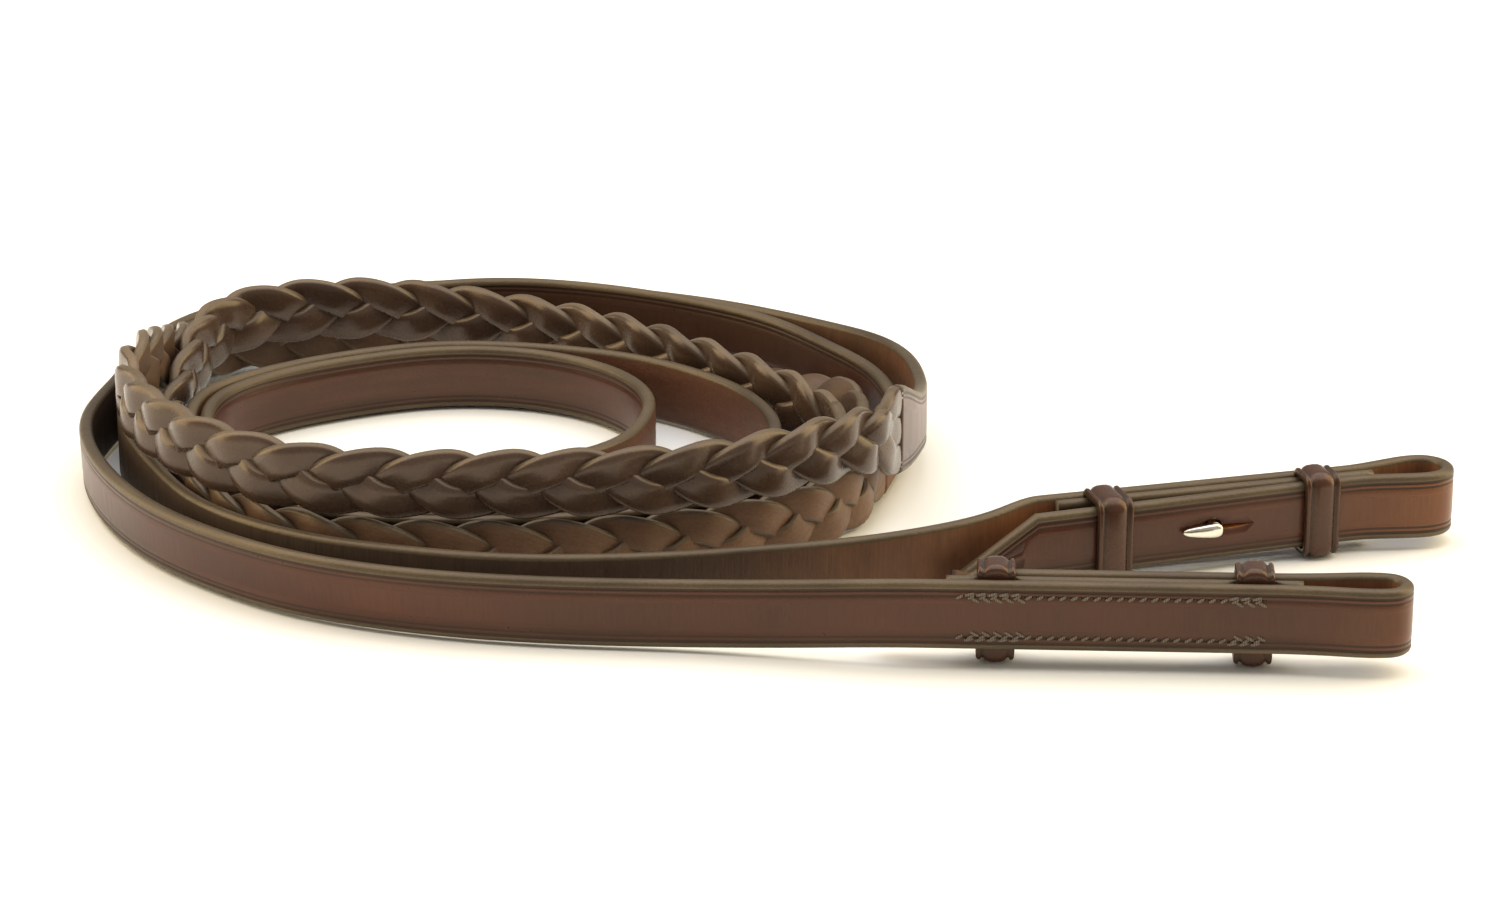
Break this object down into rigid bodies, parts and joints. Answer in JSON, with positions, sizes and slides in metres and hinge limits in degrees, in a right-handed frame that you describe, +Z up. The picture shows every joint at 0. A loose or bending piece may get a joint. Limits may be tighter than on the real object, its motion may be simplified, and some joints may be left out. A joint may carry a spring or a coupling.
{
  "type": "horse reins",
  "caption": "Coiled pair of leather riding reins with hook-stud billets, plaited grips and a buckled hand part.",
  "frame": {"origin": "middle of the coil's box, on the ground it stands on", "axes": "+X towards the billets, +Y from the billets' side across the coil, +Z up"},
  "size_m": [0.3288, 0.2372, 0.0356],
  "materials": {
    "bridle_leather": "waxed brown grain, satin",
    "plaited_leather": "waxed brown, satin",
    "keeper_leather": "creased brown, satin",
    "waxed_thread": "waxed thread",
    "plated_metal": "polished nickel plate"
  },
  "bodies": {
    "reins": {"near_strap": "bridle_leather", "near_plait": "plaited_leather", "near_hand_part": "bridle_leather", "near_stay": "bridle_leather", "near_inner_keeper": "keeper_leather", "near_outer_keeper": "keeper_leather", "near_hook_stud": "plated_metal", "near_stud_washer": "plated_metal", "near_billet_stitching": "waxed_thread", "off_strap": "bridle_leather", "off_plait": "plaited_leather", "off_hand_part": "bridle_leather", "off_stay": "bridle_leather", "off_inner_keeper": "keeper_leather", "off_outer_keeper": "keeper_leather", "off_hook_stud": "plated_metal", "off_stud_washer": "plated_metal", "off_billet_stitching": "waxed_thread", "buckle_fixed_keeper": "keeper_leather", "chape_stitching": "waxed_thread"},
    "frame": {"buckle_frame": "plated_metal"},
    "prong": {"buckle_prong": "plated_metal"},
    "runner": {"buckle_running_keeper": "keeper_leather"}
  },
  "joints": [
    {"name": "frame_swing", "type": "hinge", "parent": "reins", "child": "frame", "pos_m": [-0.0738, -0.0421, 0.0116], "axis": [0, 0, 1], "range_deg": [0, 1.5]},
    {"name": "prong_swing", "type": "hinge", "parent": "frame", "child": "prong", "pos_m": [-0.0738, -0.0421, 0.0116], "axis": [0, 0, 1], "range_deg": [0, 4]},
    {"name": "runner_slide", "type": "slide", "parent": "reins", "child": "runner", "axis": [1, 0, 0], "range_m": [-0.003, 0.003]}
  ]
}
